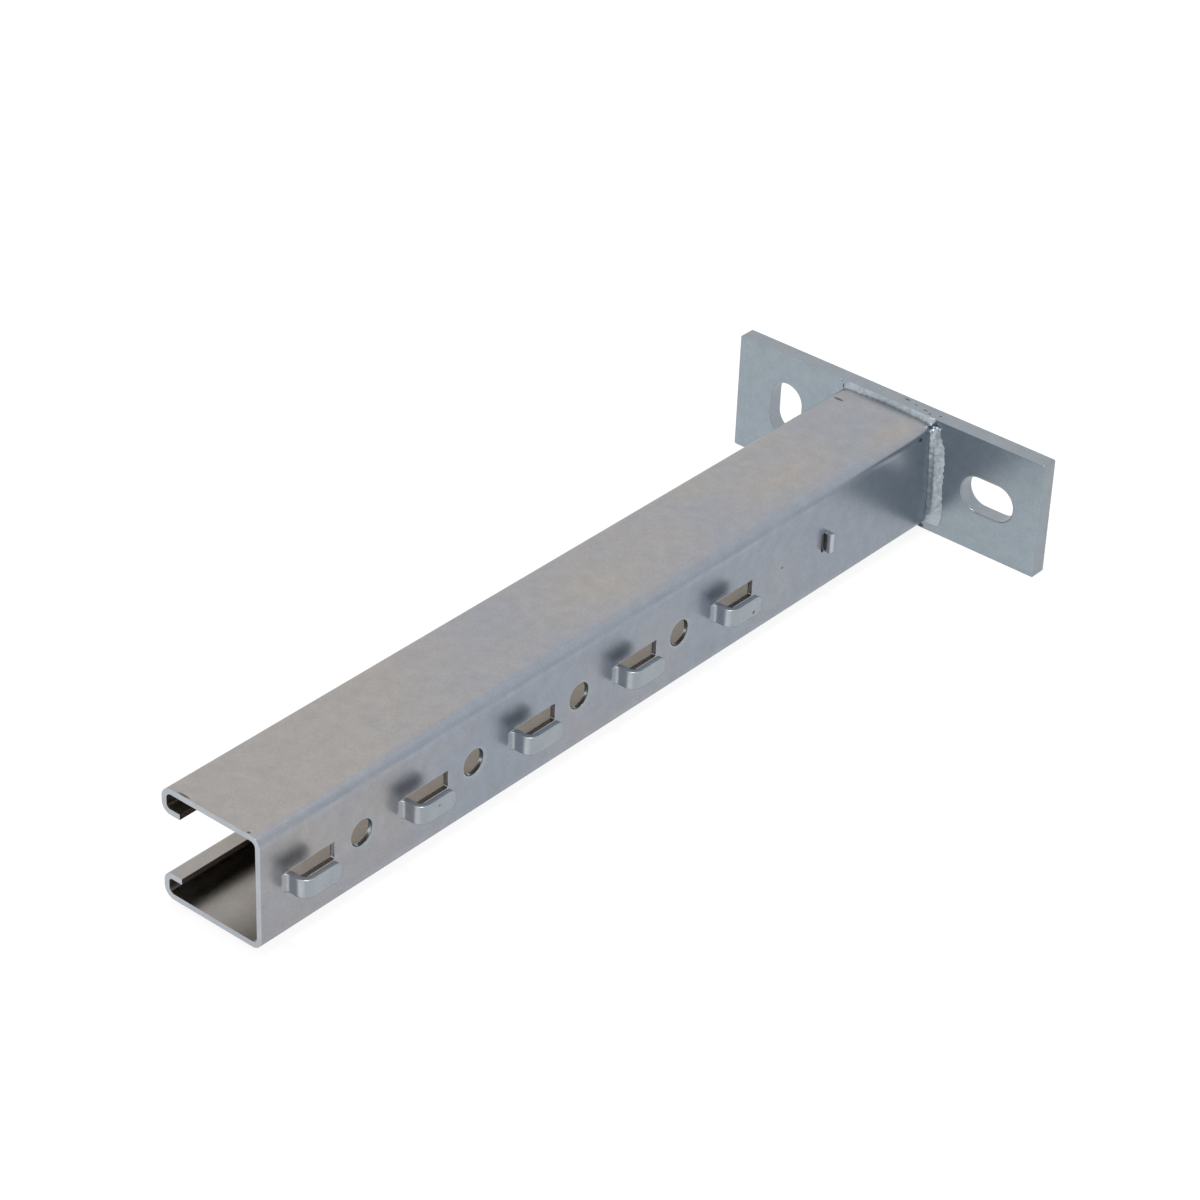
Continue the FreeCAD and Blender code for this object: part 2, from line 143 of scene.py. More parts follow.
# Scratches and specks seen on the part, each with its middle and its reach along x, y and z in mm
# from the middle of the wall plate's back.
ARM_MARKS = (
    ((-14.9, -15.6, 20.5), (2.7, 0.8, 1.0)),
    ((-11.5, -337.4, 20.5), (3.2, 0.5, 1.0)),
    ((15.3, -337.3, 20.3), (0.8, 0.6, 1.0)),
    ((20.5, -90.8, 0.4), (1.0, 0.7, 0.5)),
    ((28.8, -116.4, -1.6), (1.0, 0.9, 0.7)),
    ((28.8, -269.7, 1.0), (1.0, 0.5, 0.4)),
    ((20.4, -14.4, 17.6), (1.0, 1.3, 0.9)),
)
PLATE_MARKS_AND_SHADE = (
    ((4.9, -1.8, 22.5), (1.5, 0.6, 1.0)),
    ((9.4, -2.8, 22.5), (0.8, 0.4, 1.0)),
    ((14.0, -3.6, 22.5), (1.1, 0.5, 1.0)),
    ((16.6, -4.6, 22.5), (0.7, 0.5, 1.0)),
    ((20.3, -3.4, 22.5), (0.8, 0.5, 1.0)),
    # A dark line where the channel's upper left bend meets the plate.
    ((-20.0, -6.0, 20.0), (0.35, 1.0, 1.2)),
    # A spot of painted shade under the web's lower bend, where it meets the plate.
    ((18.0, -6.0, -21.6), (1.6, 1.0, 1.2)),
)

# Patches of the top flange that the chromate left straw-coloured, told in the same way.
STRAW_PATCHES = (
    ((13.0, -22.0, 20.5), (10.0, 28.0, 4.0)),
    ((4.0, -70.0, 20.5), (15.0, 44.0, 4.0)),
    ((3.0, -165.0, 20.5), (18.0, 60.0, 4.0)),
)

# Each weld's two ends, in degrees round the channel's section from the middle of the web, and its
# profile in mm: distance along the seam, reach on the channel, reach on the plate, swell and ridge.
WEB_SEAM = (-32, 43)
WEB_PROFILE = (
    (0, 1.8, 5.0, 0.5, 0.0),
    (3, 2.0, 6.0, 0.6, 0.0),
    (6, 1.8, 6.0, 0.5, 0.1),
    (10, 1.7, 5.6, 0.3, 0.2),
    (14, 1.7, 5.2, 0.3, 0.25),
    (19, 2.0, 5.2, 0.3, 0.25),
    (24, 2.5, 5.2, 0.3, 0.25),
    (30, 2.9, 4.8, 0.3, 0.25),
    (34, 3.1, 3.2, 0.3, 0.2),
    (38, 3.0, 1.8, 0.3, 0.1),
)
TOP_SEAM = (46, 128)
TOP_PROFILE = (
    (0, 1.9, 3.2, 0.4, 0.0),
    (3, 1.7, 2.6, 0.3, 0.0),
    (6, 1.2, 2.1, 0.2, 0.0),
    (14, 0.9, 2.1, 0.2, 0.0),
    (20, 0.7, 2.1, 0.2, 0.0),
    (26, 0.9, 2.1, 0.15, 0.0),
    (32, 1.2, 2.1, 0.1, 0.0),
    (38, 1.5, 2.1, 0.1, 0.0),
    (42, 1.2, 1.6, 0.1, 0.0),
)

# Drops of spatter by the upper bend and by the plate's upper edge: middle and radius in mm.
WEB_DROPS = (
    ((20.4, -8.6, 18.3), 0.7),
    ((22.6, -6.4, 19.2), 0.6),
    ((20.6, -7.2, 19.6), 0.7),
)
TOP_DROPS = (
    ((18.0, -6.1, 21.8), 0.65),
    ((-21.1, -6.0, 22.0), 0.45),
    ((19.3, -7.2, 20.4), 0.7),
)

# How the beads are drawn: the seam's steps in mm and degrees, how the beads end, peak, ripple,
# stray (both edges and the crest, each by some sines) and sink, and the drops' grid in degrees.
SEAM_STEP = 0.25 * MM
SEAM_TURN = 2.5
END_LENGTH = 1.2 * MM
END_SIZE = 0.2
CREST = 0.42
RIDGE_SHARPNESS = 3
RIPPLE_BOW = 1 * MM
WAVE_LENGTHS = (2.2, 6.5)
STRAYS = 3
SINES = 3
LESSER_STRAY = 0.5
LEAST_RISE = 0.01
SUNK = 0.5 * MM
BURIED_STEPS = 2
DROP_POLE = 6
DROP_RINGS = 13
DROP_TURN = 20

# The camera's right, up and back directions and its place, found by fitting the photograph's edges.
CAMERA_RIGHT = (0.759821, 0.649214, 0.034541)
CAMERA_UP = (-0.375019, 0.394272, 0.838994)
CAMERA_BACK = (0.531068, -0.650439, 0.543044)
CAMERA_PLACE = (0.639380, -0.944779, 0.665448)
CAMERA_NEAR = 0.05
CAMERA_FAR = 100
PICTURE_WIDTH = 36

# The lamp's place and width, and half the floor's width, in metres.
LAMP_PLACE = (0.0, -0.2, 1.6)
LAMP_WIDTH = 0.3
FLOOR_HALF = 20.0
WHITE = (1, 1, 1, 1)


def linear(code):
    """Turn an sRGB hex colour into the linear values that shaders take."""
    parts = np.array([int(code[i:i + 2], 16) for i in (0, 2, 4)]) / 255
    low, high = parts / 12.92, ((parts + 0.055) / 1.055) ** 2.4
    return tuple(float(value) for value in np.where(parts <= 0.04045, low, high))


def tint(name, description, code):
    """A colour setting that starts at an sRGB hex value."""
    return FloatVectorProperty(
        name=name, description=description, default=linear(code), size=3, subtype="COLOR",
        min=0, max=1)


def length(name, description, millimetres):
    """A length setting that starts at a number of millimetres."""
    return FloatProperty(
        name=name, description=description, default=millimetres * MM, min=0, max=1, unit="LENGTH")


def share(name, description, default):
    """A setting without a unit, from nought to two."""
    return FloatProperty(
        name=name, description=description, default=default, min=0, max=2, subtype="FACTOR")


def count(name, description, default):
    """A whole-number setting from one to a hundred."""
    return IntProperty(name=name, description=description, default=default, min=1, max=100)


class SteelSettings(bpy.types.PropertyGroup):
    """Colours and gloss of the zinc-plated steel."""

    warm: tint("Warm tint", "Straw tint of the chromate on the flats", "A7A3A0")
    lilac: tint("Lilac tint", "Lilac tint of the chromate on the flats", "9FA0A6")
    blue: tint("Blue tint", "Blue tint of the chromate on the flats", "979EA8")
    # The inside's straw tint is painted warm light, and the duller tint further in is painted shade.
    inside: tint("Inside", "Straw zinc inside the channel, where the bath hardly brightened it", "A5A09B")
    depths: tint("Depths", "Duller zinc further in, where the bath reached least", "968F87")
    worked: tint("Sheared end", "Cooler zinc on the channel's sheared ends", "B9BEC4")
    # The folds' duller tint is painted shade.
    fold: tint("Folds", "Duller zinc on the stretched folds where the lugs leave the web", "989EA5")
    # The lugs' tint also lies round each hole of the web as a painted highlight.
    lug_tint_and_highlights: tint("Lugs", "Cooler zinc on the folded lugs", "A0A8AE")
    # The stop tab's lighter tint is a painted highlight.
    tab_highlight: tint("Stop tab", "Zinc rubbed bright on the small stop tab", "BCC2C6")
    bar: tint("Plate", "Blue-grey zinc on the bar of the wall plate", "9EAAB2")
    bar_edge: tint("Plate edges", "Duller zinc on the plate's edges and slots", "959DA4")
    # The marks' dark tint also gives a spot of painted shade where the web's lower bend meets the plate.
    mark: tint("Marks", "Dark scratches and specks in the plating", "55565B")
    roughness: share("Roughness", "Spread of the reflections in the plating", 0.28)
    inner_roughness: share("Inner roughness", "Spread of the reflections inside the channel", 0.31)
    tightness: share("Tight bends", "How much faster than an arc the bends seem to turn", 0.75)
    grain_relief: share("Grain relief", "How far the grain tilts the reflections", 0.05)
    cloud_size: length("Cloud size", "Width of one patch of tint", 60)
    mottle_size: length("Mottle size", "Width of one lighter or darker patch", 5)
    grain_size: length("Grain size", "Width of one grain, drawn coarse enough to show", 0.7)
    sheared_rounding: length("Sheared edges", "Radius that the plating leaves on sheared edges", 0.2)
    punched_rounding: length("Punched edges", "Radius that punching leaves round holes and lugs", 0.75)


class WeldSettings(bpy.types.PropertyGroup):
    """Colours and sizes of the two weld beads."""

    # The bead's dull tint is painted shade in the hollows of its skin, and its bright tint a painted
    # highlight on the crests and on the lump.
    skin_hollow_shade: tint("Dull", "Zinc over the hollows of the bead", "9DA5AB")
    bright: tint("Bright", "Zinc over the crests of the bead", "B6C0C7")
    skin_size: length("Skin size", "Width of one pucker of the bead's skin", 1.4)
    skin_relief: share("Skin relief", "How far the skin tilts the reflections", 0.11)
    lump_relief: share("Lump relief", "The same on the smooth lump at the web bead's lower end", 0.03)
    ripple_pitch: length("Ripple pitch", "One frozen ripple of the weld to the next", 2.1)
    ripple_height: length("Ripple height", "How far a ripple stands proud", 0.03)
    wander: length("Wander", "How far the bead's two edges stray", 0.35)
    web_unrest: share("Web unrest", "How restless the bead on the web is", 1.0)
    top_unrest: share("Top unrest", "How restless the bead on the top flange is", 0.5)
    web_seed: count("Web seed", "Picks the waves of the bead on the web", 11)
    top_seed: count("Top seed", "Picks the waves of the bead on the top flange", 5)
    steps_across: count("Steps across", "Grid lines across the bead's face", 36)


class StageSettings(bpy.types.PropertyGroup):
    """Floor, light and camera."""

    floor: tint("Floor", "Pale floor", "E4E4E4")
    floor_glow: share("Floor glow", "Share of its own light in what is seen of the floor", 0.8)
    floor_seen: share("Floor seen", "Brightness of the lit floor to the eye", 1.1)
    floor_mirrored: share("Floor mirrored", "Brightness of the lit floor in metal", 0.94)
    surroundings: share("Surroundings", "Brightness of the white tent round the part", 0.94)
    lens: FloatProperty(
        name="Lens", description="Focal length on a 36 mm wide picture, in millimetres",
        default=111.16, min=10, max=500)
    lamp: FloatProperty(
        name="Overhead lamp", description="Power of the lamp overhead",
        default=10, min=0, max=1000, unit="POWER")


def add(tree, kind, *values, **settings):
    """Add a node to a tree and give its first live output.

    The values go to its live inputs in order, and the settings to the inputs or fields that they
    name. A value that is another node's output is linked.
    """
    node = tree.nodes.new(f"ShaderNode{kind}")
    filled = {name: settings.pop(name) for name in list(settings) if name in node.inputs}
    for name, value in settings.items():
        setattr(node, name, value)
    live = [socket for socket in node.inputs if socket.enabled]
    named = [(node.inputs[name], value) for name, value in filled.items()]
    for socket, value in [*zip(live, values), *named]:
        if isinstance(value, bpy.types.NodeSocket):
            tree.links.new(value, socket)
        else:
            socket.default_value = value
    return next((socket for socket in node.outputs if socket.enabled), None)


def new_material(name):
    """Start a material with no nodes, and give it with its node tree."""
    material = bpy.data.materials.new(name)
    material.use_nodes = True
    material.node_tree.nodes.clear()
    return material, material.node_tree


def colour(value):
    """A colour setting with the fourth value that nodes ask for."""
    return (*value, 1.0)


def band(tree, value, start, middle, end):
    """One where the value is at the middle, falling off to nought at the start and the end."""
    rising = add(tree, "MapRange", value, start, middle)
    falling = add(tree, "MapRange", value, end, middle)
    return add(tree, "Math", rising, falling, operation="MINIMUM")


def facing(tree):
    """The x, y and z parts of the direction that the surface faces."""
    normal = add(tree, "NewGeometry").node.outputs["Normal"]
    return add(tree, "SeparateXYZ", normal).node.outputs


def speckle(tree, place, marks, core):
    """One on the marks and nought elsewhere.

    It is the distance to the nearest mark, as a share of its reach, faded out from its core to
    its whole reach.
    """
    nearest = BEYOND_REACH
    for middle, reach in marks:
        middle = [value * MM for value in middle]
        reach = [value * MM for value in reach]
        offset = add(tree, "VectorMath", place, middle, operation="SUBTRACT")
        shares = add(tree, "VectorMath", offset, reach, operation="DIVIDE")
        distance = add(tree, "VectorMath", shares, operation="LENGTH")
        nearest = add(tree, "Math", distance, nearest, operation="MINIMUM")
    return add(tree, "MapRange", nearest, 1.0, core)


def tightened(tree, normal, share_taken):
    """A normal that turns over a bend between x and z faster than an arc's, as on a pressed fold.

    Its x part is scaled by 1 - s z^2 and its z part by 1 - s x^2, where s is the share taken;
    normals that lie along x or z, or between one of them and y, keep their direction.
    """
    parts = add(tree, "SeparateXYZ", normal).node.outputs
    kept = []
    for axis in "ZX":
        square = add(tree, "Math", parts[axis], parts[axis], operation="MULTIPLY")
        taken = add(tree, "Math", square, share_taken, operation="MULTIPLY")
        kept.append(add(tree, "Math", 1.0, taken, operation="SUBTRACT"))
    scale = add(tree, "CombineXYZ", kept[0], 1.0, kept[1])
    turned = add(tree, "VectorMath", normal, scale, operation="MULTIPLY")
    return add(tree, "VectorMath", turned, operation="NORMALIZE")


def metal(tree, tone, roughness, normal):
    """Finish a tree as bare metal."""
    shader = add(tree, "BsdfPrincipled", tone, Metallic=1.0, Roughness=roughness, Normal=normal)
    add(tree, "OutputMaterial", shader)


def plated_steel(name, settings, marks, paint):
    """Zinc-plated, clear-chromated steel: a fine matt-bright metal.

    It reflects about a third of the light, so one reflection in another darkens to slate. paint
    gives its colour, its roughness and how tight its bends look, from the tree and the place.
    Over them lie lighter and darker patches, a grain too fine to see, drawn coarser, and the dark
    marks, with a spot of painted shade among them. Edges are rounded by the plating, and more by the
    punch on the web's holes, windows and lugs.
    """
    material, tree = new_material(name)
    place = add(tree, "TexCoord").node.outputs["Object"]
    spot = add(tree, "SeparateXYZ", place).node.outputs
    grain = add(
        tree, "TexNoise", place, 1 / settings.grain_size, Detail=2.0, Roughness=NOISE_ROUGHNESS)
    patches = add(
        tree, "TexNoise", place, 1 / settings.mottle_size, Detail=3.0, Roughness=NOISE_ROUGHNESS)
    fine = add(tree, "MapRange", grain, *GRAIN)
    coarse = add(tree, "MapRange", patches, *MOTTLE)
    level = add(tree, "Math", coarse, fine, operation="MULTIPLY")
    tone, roughness, tightness = paint(tree, place, spot)
    shaded = add(tree, "VectorMath", tone, level, operation="SCALE")
    marks_and_shade_mask = speckle(tree, place, marks, MARK_CORE)
    dotted = add(tree, "Mix", marks_and_shade_mask, shaded, colour(settings.mark), data_type="RGBA")
    on_web = add(tree, "MapRange", spot["X"], *WEB_SHEET)
    past_end = add(tree, "MapRange", spot["Y"], *PAST_END_FACE)
    punched = add(tree, "Math", on_web, past_end, operation="MULTIPLY")
    radius = add(
        tree, "MapRange", punched, 0, 1, settings.sheared_rounding, settings.punched_rounding)
    rounded = add(tree, "Bevel", radius, samples=EDGE_SAMPLES)
    bump = add(
        tree, "Bump", settings.grain_relief, GRAIN_HEIGHT, Height=grain,
        Normal=tightened(tree, rounded, tightness))
    metal(tree, dotted, roughness, bump)
    return material


def clouded(tree, place, spot, normal, settings):
    """The channel's clouds of straw, lilac and blue, with the straw patches.

    They cool towards the plate, on the web and most of all on the bends, by the product of the
    normal's two parts. The cooling on the web and on the bends, by the way each face turns, is painted
    reflection.
    """
    along = add(
        tree, "MapRange", spot["Y"], FREE_END, PLATE_FRONT, COOL_AT_FREE_END, COOL_AT_PLATE)
    # Cooler on the web and on the bends by the way the face turns: painted reflection.
    web_reflection = add(tree, "MapRange", normal["X"], *ON_SIDE, 0.0, REFLECTED_COOL_ON_WEB)
    turning = add(tree, "Math", normal["X"], normal["Z"], operation="MULTIPLY")
    bend_reflection = add(tree, "MapRange", turning, *ON_BEND, 0.0, REFLECTED_COOL_ON_BEND)
    clouds = add(
        tree, "TexNoise", place, 1 / settings.cloud_size, Detail=4.0, Roughness=NOISE_ROUGHNESS)
    spread = add(tree, "Math", clouds, CLOUD_SPREAD, operation="MULTIPLY")
    coolness = along
    for part in (web_reflection, bend_reflection, spread):
        coolness = add(tree, "Math", coolness, part, operation="ADD")
    tints = add(tree, "ValToRGB", coolness)
    ramp = tints.node.color_ramp
    straw, blue = ramp.elements
    straw.position = STRAW_STOP
    straw.color = colour(settings.warm)
    blue.position = BLUE_STOP
    blue.color = colour(settings.blue)
    ramp.elements.new(LILAC_STOP).color = colour(settings.lilac)
    patches = speckle(tree, place, STRAW_PATCHES, PATCH_CORE)
    return add(tree, "Mix", patches, tints, colour(settings.warm), data_type="RGBA")


def painted_press_shading(tree, place, height):
    """Painted shade over the press's hollow and painted highlight on its line along the bends: a factor
    on the colour, one elsewhere.
    """
    below = add(tree, "Math", FLANGE_FACE, height, operation="SUBTRACT")
    on_line = band(tree, below, *PRESS_LINE)
    line = add(tree, "Math", on_line, PRESS_LINE_HIGHLIGHT, operation="MULTIPLY")
    in_hollow = band(tree, below, *HOLLOW)
    hollow = add(tree, "Math", in_hollow, HOLLOW_SHADE, operation="MULTIPLY")
    change = add(tree, "Math", line, hollow, operation="SUBTRACT")
    unevenness = add(
        tree, "TexNoise", place, 1 / PRESS_WANDER_SIZE, Detail=2.0, Roughness=NOISE_ROUGHNESS)
    wander = add(tree, "MapRange", unevenness, *PRESS_WANDER)
    relief = add(tree, "Math", change, wander, operation="MULTIPLY")
    return add(tree, "Math", relief, 1.0, operation="ADD")


def hole_rim_highlight(tree, spot):
    """One on a ring round each hole of the web, where a painted highlight lies: the distance to the
    nearest hole's middle, faded.
    """
    from_first = add(tree, "Math", spot["Y"], FIRST_HOLE, operation="SUBTRACT")
    from_nearest = add(tree, "Math", from_first, HOLE_PITCH / 2, operation="PINGPONG")
    offset = add(tree, "CombineXYZ", from_nearest, spot["Z"])
    distance = add(tree, "VectorMath", offset, operation="LENGTH")
    ring = add(tree, "MapRange", distance, *HOLE_RIM_HIGHLIGHT)
    on_web = add(tree, "MapRange", spot["X"], *OUTER_WEB)
    in_row = add(tree, "MapRange", from_first, *HOLE_ROW)
    kept = add(tree, "Math", ring, on_web, operation="MULTIPLY")
    return add(tree, "Math", kept, in_row, operation="MULTIPLY")


def channel_paint(settings):
    """The channel's tints: clouds outside, painted shade and highlight along the pressed bends, and
    painted warm light inside.

    The inside gets painted shade further in. The sheared ends and the lugs are cooler, the stop tab and a
    ring round each hole carry a painted highlight, and the folds where the lugs leave the web carry
    painted shade.
    """
    def paint(tree, place, spot):
        normal = facing(tree)
        sideways = add(tree, "Math", spot["X"], operation="ABSOLUTE")
        height = add(tree, "Math", spot["Z"], operation="ABSOLUTE")

        clouds = clouded(tree, place, spot, normal, settings)
        # Painted shade and highlight along the pressed bends.
        outside = add(
            tree, "VectorMath", clouds, painted_press_shading(tree, place, height), operation="SCALE")
        # Inside the channel: painted warm light, turning to painted shade further in.
        depth = add(tree, "MapRange", spot["Y"], *INSIDE_SHADE_DEEPENS)
        inside_light_and_shade = add(
            tree, "Mix", depth, colour(settings.inside), colour(settings.depths), data_type="RGBA")
        outermost = add(tree, "Math", sideways, height, operation="MAXIMUM")
        within = add(tree, "MapRange", outermost, *LINING)
        with_inside_light = add(tree, "Mix", within, outside, inside_light_and_shade, data_type="RGBA")

        endways = add(tree, "Math", normal["Y"], operation="ABSOLUTE")
        sheared = add(tree, "MapRange", endways, *END_FACING)
        ended = add(tree, "Mix", sheared, with_inside_light, colour(settings.worked), data_type="RGBA")

        # Past the lugs, the stop tab gets its painted highlight.
        past_lugs = add(tree, "MapRange", spot["Y"], *PAST_LUGS)
        lug_tint_and_highlights = add(
            tree, "Mix", past_lugs, colour(settings.lug_tint_and_highlights), colour(settings.tab_highlight), data_type="RGBA")
        # A painted highlight on a ring round each hole, in the lugs' tint.
        rings = hole_rim_highlight(tree, spot)
        # Painted shade on the lugs' folds, near the web.
        clear_of_fold_shade = add(tree, "MapRange", spot["X"], *PAST_LUG_FOLD)
        for part in (past_lugs, rings):
            clear_of_fold_shade = add(tree, "Math", clear_of_fold_shade, part, operation="MAXIMUM")
        fold_shaded = add(tree, "Mix", clear_of_fold_shade, colour(settings.fold), lug_tint_and_highlights, data_type="RGBA")
        on_lug = add(tree, "MapRange", spot["X"], *LUG_SKIN)
        tipped = add(tree, "Math", sheared, on_lug, operation="MULTIPLY")
        faced = add(tree, "Mix", tipped, fold_shaded, colour(settings.worked), data_type="RGBA")

        raised = add(tree, "Math", on_lug, rings, operation="MAXIMUM")
        tone = add(tree, "Mix", raised, ended, faced, data_type="RGBA")
        roughness = add(
            tree, "MapRange", within, 0, 1, settings.roughness, settings.inner_roughness)
        tightness = add(tree, "MapRange", spot["X"], *OFF_THE_BENDS, settings.tightness, 0.0)
        return tone, roughness, tightness
    return paint


def bar_paint(settings):
    """The plate's blue-grey, with faint lilac clouds half as wide as the channel's.

    It is duller wherever it faces neither way along y, so on its edges and in its slots.
    """
    def paint(tree, place, spot):
        clouds = add(
            tree, "TexNoise", place, 2 / settings.cloud_size, Detail=3.0, Roughness=NOISE_ROUGHNESS)
        faint = add(tree, "MapRange", clouds, *BAR_CLOUDS)
        flat = add(tree, "Mix", faint, colour(settings.bar), colour(settings.lilac), data_type="RGBA")
        endways = add(tree, "Math", facing(tree)["Y"], operation="ABSOLUTE")
        edge = add(tree, "MapRange", endways, *EDGE_FACING)
        tone = add(tree, "Mix", edge, flat, colour(settings.bar_edge), data_type="RGBA")
        return tone, settings.roughness, 0.0
    return paint


def weld_metal(settings):
    """Zinc-plated weld metal: the same plating over a cast, rippled surface, so it glints.

    The lump at the web bead's lower end, where the arc was held, is smoother, and brighter by a painted
    highlight.
    """
    material, tree = new_material("zinc-plated weld bead")
    place = add(tree, "TexCoord").node.outputs["Object"]
    skin = add(
        tree, "TexNoise", place, 1 / settings.skin_size, Detail=4.0, Roughness=NOISE_ROUGHNESS)
    height = add(tree, "SeparateXYZ", place).node.outputs["Z"]
    lump = add(tree, "MapRange", height, *WELD_LUMP)
    # Lighter on the skin's crests and on the lump, darker in its hollows: painted highlight and shade.
    crests = add(tree, "MapRange", skin, *SKIN_SHADING)
    highlight_share = add(tree, "Math", crests, lump, operation="MAXIMUM")
    tone = add(
        tree, "Mix", highlight_share, colour(settings.skin_hollow_shade), colour(settings.bright), data_type="RGBA")
    relief = add(tree, "MapRange", lump, 0, 1, settings.skin_relief, settings.lump_relief)
    bump = add(tree, "Bump", relief, SKIN_HEIGHT, Height=skin)
    metal(tree, tone, add(tree, "MapRange", skin, *SKIN_ROUGHNESS), bump)
    return material


def dress(node, material):
    """Give a CAD node its material in every slot."""
    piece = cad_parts[node]
    if not piece.material_slots:
        piece.data.materials.append(material)
    for slot in piece.material_slots:
        slot.material = material


def ring_faces(rings, around, buried, start):
    """Faces of a tube of closed rings, with a many-sided face at each end.

    The points are numbered from start, ring after ring. The last few steps of every ring, told by
    buried, and the two ends lie in the steel and are left flat, so that they don't bend the light
    on the rest. Gives the faces, and which of them are smooth.
    """
    ring, step = np.meshgrid(np.arange(rings - 1), np.arange(around), indexing="ij")
    after = (step + 1) % around
    quads = np.stack([
        ring * around + step, ring * around + after,
        (ring + 1) * around + after, (ring + 1) * around + step], -1).reshape(-1, 4)
    first = np.arange(around)[::-1]
    last = (rings - 1) * around + np.arange(around)
    faces = (quads + start).tolist() + [(first + start).tolist(), (last + start).tolist()]
    smooth = np.append((step < around - buried).ravel(), [False, False])
    return faces, smooth


def weld_piece(name, tubes, material, node):
    """Put tubes of closed rings into one mesh piece that stands in for a CAD node."""
    points, faces, smooth = [], [], []
    for tube, buried in tubes:
        start = sum(len(rows) for rows in points)
        tube_faces, tube_smooth = ring_faces(*tube.shape[:2], buried, start)
        faces += tube_faces
        smooth.append(tube_smooth)
        points.append(tube.reshape(-1, 3))
    mesh = bpy.data.meshes.new(name)
    mesh.from_pydata(np.concatenate(points).tolist(), [], faces)
    mesh.update()
    mesh.polygons.foreach_set("use_smooth", np.concatenate(smooth))
    mesh.materials.append(material)
    piece = bpy.data.objects.new(name, mesh)
    bpy.context.scene.collection.objects.link(piece)
    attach(piece, "root")
    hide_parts(node)


def seam(start_angle, end_angle):
    """Line where the channel's outside meets the plate, between two angles round its section.

    Nought degrees is the web's outward direction and 90 the top flange's. Three quarters of the
    section are walked, each a bend and then a flat. A point is c + BEND n, where n is the outward
    direction at its angle: on a bend c stands and n turns, on a flat n stands and c slides. Gives
    the points, the outward directions and the distance run.
    """
    rows = []
    for side_x, side_z, first in ((1, -1, -90), (1, 1, 0), (-1, 1, 90)):
        centre = np.array([side_x * HALF_FLAT, side_z * HALF_FLAT])
        turn = np.radians(np.arange(first, first + 90, SEAM_TURN))
        rows.append(np.column_stack([np.tile(centre, (len(turn), 1)), turn]))
        last = np.radians(first + 90)
        slide = np.arange(0, 2 * HALF_FLAT, SEAM_STEP)[:, None]
        way = np.array([[-np.sin(last), np.cos(last)]])
        rows.append(np.column_stack([centre + slide * way, np.full(len(slide), last)]))
    rows = np.concatenate(rows)
    turned = np.degrees(rows[:, 2])
    rows = rows[(turned >= start_angle) & (turned <= end_angle)]
    outward = np.column_stack([np.cos(rows[:, 2]), np.zeros(len(rows)), np.sin(rows[:, 2])])
    centres = np.column_stack([rows[:, 0], np.full(len(rows), PLATE_FRONT), rows[:, 1]])
    points = centres + BEND * outward
    run = np.concatenate([[0], np.cumsum(np.linalg.norm(np.diff(points, axis=0), axis=1))])
    return points, outward, run


def bead(seam_line, profile, unrest, seed, settings):
    """A weld bead carried along its seam, and how many steps of its rings are buried.

    Each row of the profile holds a distance along the seam and, there, the bead's reach on the
    channel, its reach on the plate, its swell and the height of its thin ridge, all in mm. Across
    the bead, a point goes from the toe on the channel to the head on the plate along the chord,
    and swells by swell (1 - d^2) + ridge exp(-(3 d)^2), where d runs from 1 at the toe through 0
    at the crest to 1 at the head. Sums of three sines of the distance run make both edges stray
    and the crest wave, as much as unrest says, and the bead shrinks to its ends as a quarter
    ellipse. Its back lies in the steel.
    """
    points, outward, run = seam_line
    marks, *columns = np.array(profile).T * MM
    arm_leg, plate_leg, crown, ridge = (
        np.interp(run, marks, column)[:, None] for column in columns)
    generator = np.random.default_rng(seed)
    waves = generator.uniform(*WAVE_LENGTHS, (STRAYS, SINES, 1)) * MM
    phases = generator.uniform(0, 2 * np.pi, (STRAYS, SINES, 1))
    sines = np.sin(2 * np.pi * run / waves + phases).mean(1)[:, :, None]
    arm_stray, plate_stray, crest_stray = unrest * settings.wander * sines
    to_end = np.clip(np.minimum(run, run[-1] - run) / END_LENGTH, 0, 1)[:, None]
    taper = END_SIZE + (1 - END_SIZE) * np.sqrt(1 - (1 - to_end) ** 2)
    across = np.linspace(0, 1, settings.steps_across)[None, :]
    from_crest = np.where(across < CREST, (CREST - across) / CREST, (across - CREST) / (1 - CREST))
    hump = 1 - from_crest ** 2
    thread = ridge * np.exp(-(RIDGE_SHARPNESS * from_crest) ** 2)
    phase = 2 * np.pi * (run[:, None] - RIPPLE_BOW * hump) / settings.ripple_pitch
    ripple = unrest * settings.ripple_height * np.sin(phase)
    swell = taper * (hump * (crown + LESSER_STRAY * crest_stray + ripple) + thread)
    reach_arm = taper * (arm_leg + LESSER_STRAY * arm_stray)
    reach_plate = taper * (plate_leg + plate_stray)
    chord = np.hypot(reach_arm, reach_plate)
    out_arm = np.maximum(reach_arm * (1 - across) + swell * reach_plate / chord, 0)
    room = (PLATE_TOP - points[:, 2:]) / np.maximum(outward[:, 2:], LEAST_RISE)
    out_plate = np.minimum(reach_plate * across + swell * reach_arm / chord, room)
    away = np.array([0.0, -1.0, 0.0])
    face = points[:, None] + out_arm[..., None] * away + out_plate[..., None] * outward[:, None]
    back = points - SUNK * (outward + away)
    return np.concatenate([face, back[:, None]], 1), BURIED_STEPS


